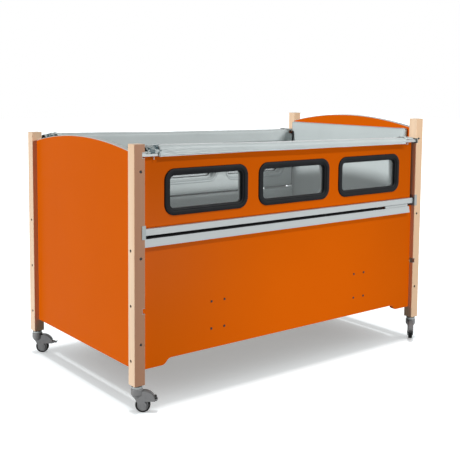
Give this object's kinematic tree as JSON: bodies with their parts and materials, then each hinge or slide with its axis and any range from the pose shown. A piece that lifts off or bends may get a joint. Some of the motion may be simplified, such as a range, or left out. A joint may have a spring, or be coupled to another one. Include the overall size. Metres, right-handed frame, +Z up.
{
  "type": "safety bed",
  "caption": "High-sided care bed on braked castors, with wooden posts, padded orange panels and windowed side flaps that fold down.",
  "frame": {"origin": "on the floor under the middle of the bed", "axes": "+X towards the head end along the length, +Y across towards the rear side, +Z up; the front side faces -Y"},
  "size_m": [2.12, 1.3126, 1.417],
  "materials": {
    "beech": "clear lacquered solid beech",
    "orange_board": "orange laminated board, satin",
    "pale_edging": "pale grey edge lipping",
    "rail_aluminium": "light grey anodised, satin",
    "bracket_steel": "zinc plated",
    "dark_screw": "blackened steel",
    "black_rubber": "matt black rubber",
    "clear_pane": "clear pane",
    "pad_cloth": "smooth grey coated cloth",
    "mattress_cloth": "plain light mattress cover",
    "base_paint": "light grey powder coat",
    "slat_wood": "plain laminated beech",
    "castor_grey": "grey moulded plastic",
    "black_plastic": "black moulded plastic",
    "castor_tyre": "black tread"
  },
  "bodies": {
    "bed": {"barrel_nuts": "dark_screw", "base_frame": "base_paint", "bracket_screws": "dark_screw", "castor_stems": "bracket_steel", "catch_plates": "bracket_steel", "edge_trims": "pale_edging", "foot_pad": "pad_cloth", "foot_panel": "orange_board", "head_pad": "pad_cloth", "head_panel": "orange_board", "hinge_brackets": "bracket_steel", "lower_rails": "rail_aluminium", "mattress": "mattress_cloth", "panel_bolts": "dark_screw", "post_foot_front": "beech", "post_foot_rear": "beech", "post_head_front": "beech", "post_head_rear": "beech", "rail_seals": "black_rubber", "side_pad_front": "pad_cloth", "side_pad_rear": "pad_cloth", "side_panel_front": "orange_board", "side_panel_rear": "orange_board", "slats": "slat_wood", "support_brackets": "base_paint", "support_screws": "dark_screw"},
    "flap_front": {"flap_panel_front": "orange_board", "flap_bottom_rail_front": "rail_aluminium", "flap_top_rail_front": "rail_aluminium", "flap_cover_front": "pad_cloth", "flap_gaskets_front": "black_rubber", "flap_panes_front": "clear_pane", "flap_pad_front": "pad_cloth"},
    "flap_rear": {"flap_panel_rear": "orange_board", "flap_bottom_rail_rear": "rail_aluminium", "flap_top_rail_rear": "rail_aluminium", "flap_cover_rear": "pad_cloth", "flap_gaskets_rear": "black_rubber", "flap_panes_rear": "clear_pane", "flap_pad_rear": "pad_cloth"},
    "latch_foot_front": {"latch_bar_foot_front": "rail_aluminium"},
    "castor_foot_front": {"castor_head_foot_front": "castor_grey"},
    "wheel_foot_front": {"wheel_core_foot_front": "castor_grey", "tyre_foot_front": "castor_tyre"},
    "brake_foot_front": {"pedal_foot_front": "black_plastic"},
    "latch_foot_rear": {"latch_bar_foot_rear": "rail_aluminium"},
    "castor_foot_rear": {"castor_head_foot_rear": "castor_grey"},
    "wheel_foot_rear": {"wheel_core_foot_rear": "castor_grey", "tyre_foot_rear": "castor_tyre"},
    "brake_foot_rear": {"pedal_foot_rear": "black_plastic"},
    "latch_head_front": {"latch_bar_head_front": "rail_aluminium"},
    "castor_head_front": {"castor_head_head_front": "castor_grey"},
    "wheel_head_front": {"wheel_core_head_front": "castor_grey", "tyre_head_front": "castor_tyre"},
    "brake_head_front": {"pedal_head_front": "black_plastic"},
    "latch_head_rear": {"latch_bar_head_rear": "rail_aluminium"},
    "castor_head_rear": {"castor_head_head_rear": "castor_grey"},
    "wheel_head_rear": {"wheel_core_head_rear": "castor_grey", "tyre_head_rear": "castor_tyre"},
    "brake_head_rear": {"pedal_head_rear": "black_plastic"}
  },
  "joints": [
    {"name": "flap_front_fold", "type": "hinge", "parent": "bed", "child": "flap_front", "pos_m": [0, -0.586, 0.891], "axis": [1, 0, 0], "range_deg": [0, 180]},
    {"name": "flap_rear_fold", "type": "hinge", "parent": "bed", "child": "flap_rear", "pos_m": [0, 0.586, 0.891], "axis": [-1, 0, 0], "range_deg": [0, 180]},
    {"name": "latch_foot_front_draw", "type": "slide", "parent": "flap_front", "child": "latch_foot_front", "axis": [1, 0, 0], "range_m": [0, 0.02], "stiffness_N_per_m": 250, "springref_m": -0.02},
    {"name": "latch_foot_rear_draw", "type": "slide", "parent": "flap_rear", "child": "latch_foot_rear", "axis": [1, 0, 0], "range_m": [0, 0.02], "stiffness_N_per_m": 250, "springref_m": -0.02},
    {"name": "latch_head_front_draw", "type": "slide", "parent": "flap_front", "child": "latch_head_front", "axis": [-1, 0, 0], "range_m": [0, 0.02], "stiffness_N_per_m": 250, "springref_m": -0.02},
    {"name": "latch_head_rear_draw", "type": "slide", "parent": "flap_rear", "child": "latch_head_rear", "axis": [-1, 0, 0], "range_m": [0, 0.02], "stiffness_N_per_m": 250, "springref_m": -0.02},
    {"name": "castor_foot_front_swivel", "type": "hinge", "parent": "bed", "child": "castor_foot_front", "pos_m": [-1.03, -0.57, 0.12], "axis": [0, 0, 1], "continuous": true},
    {"name": "wheel_foot_front_roll", "type": "hinge", "parent": "castor_foot_front", "child": "wheel_foot_front", "pos_m": [-1.00636, -0.58847, 0.0375], "axis": [0.6157, 0.788, 0], "continuous": true},
    {"name": "brake_foot_front_tread", "type": "hinge", "parent": "castor_foot_front", "child": "brake_foot_front", "pos_m": [-0.95277, -0.63033, 0.064], "axis": [0.6157, 0.788, 0], "range_deg": [0, 100]},
    {"name": "castor_foot_rear_swivel", "type": "hinge", "parent": "bed", "child": "castor_foot_rear", "pos_m": [-1.03, 0.57, 0.12], "axis": [0, 0, 1], "continuous": true},
    {"name": "wheel_foot_rear_roll", "type": "hinge", "parent": "castor_foot_rear", "child": "wheel_foot_rear", "pos_m": [-1.00636, 0.55153, 0.0375], "axis": [0.6157, 0.788, 0], "continuous": true},
    {"name": "brake_foot_rear_tread", "type": "hinge", "parent": "castor_foot_rear", "child": "brake_foot_rear", "pos_m": [-0.95277, 0.50967, 0.064], "axis": [0.6157, 0.788, 0], "range_deg": [-100, 0]},
    {"name": "castor_head_front_swivel", "type": "hinge", "parent": "bed", "child": "castor_head_front", "pos_m": [1.03, -0.57, 0.12], "axis": [0, 0, 1], "continuous": true},
    {"name": "wheel_head_front_roll", "type": "hinge", "parent": "castor_head_front", "child": "wheel_head_front", "pos_m": [1.00736, -0.58968, 0.0375], "axis": [0.6561, -0.7547, 0], "continuous": true},
    {"name": "brake_head_front_tread", "type": "hinge", "parent": "castor_head_front", "child": "brake_head_front", "pos_m": [0.95604, -0.63429, 0.064], "axis": [0.6561, -0.7547, 0], "range_deg": [-100, 0]},
    {"name": "castor_head_rear_swivel", "type": "hinge", "parent": "bed", "child": "castor_head_rear", "pos_m": [1.03, 0.57, 0.12], "axis": [0, 0, 1], "continuous": true},
    {"name": "wheel_head_rear_roll", "type": "hinge", "parent": "castor_head_rear", "child": "wheel_head_rear", "pos_m": [1.00736, 0.58968, 0.0375], "axis": [-0.6561, -0.7547, 0], "continuous": true},
    {"name": "brake_head_rear_tread", "type": "hinge", "parent": "castor_head_rear", "child": "brake_head_rear", "pos_m": [0.95604, 0.63429, 0.064], "axis": [-0.6561, -0.7547, 0], "range_deg": [-100, 0]}
  ]
}
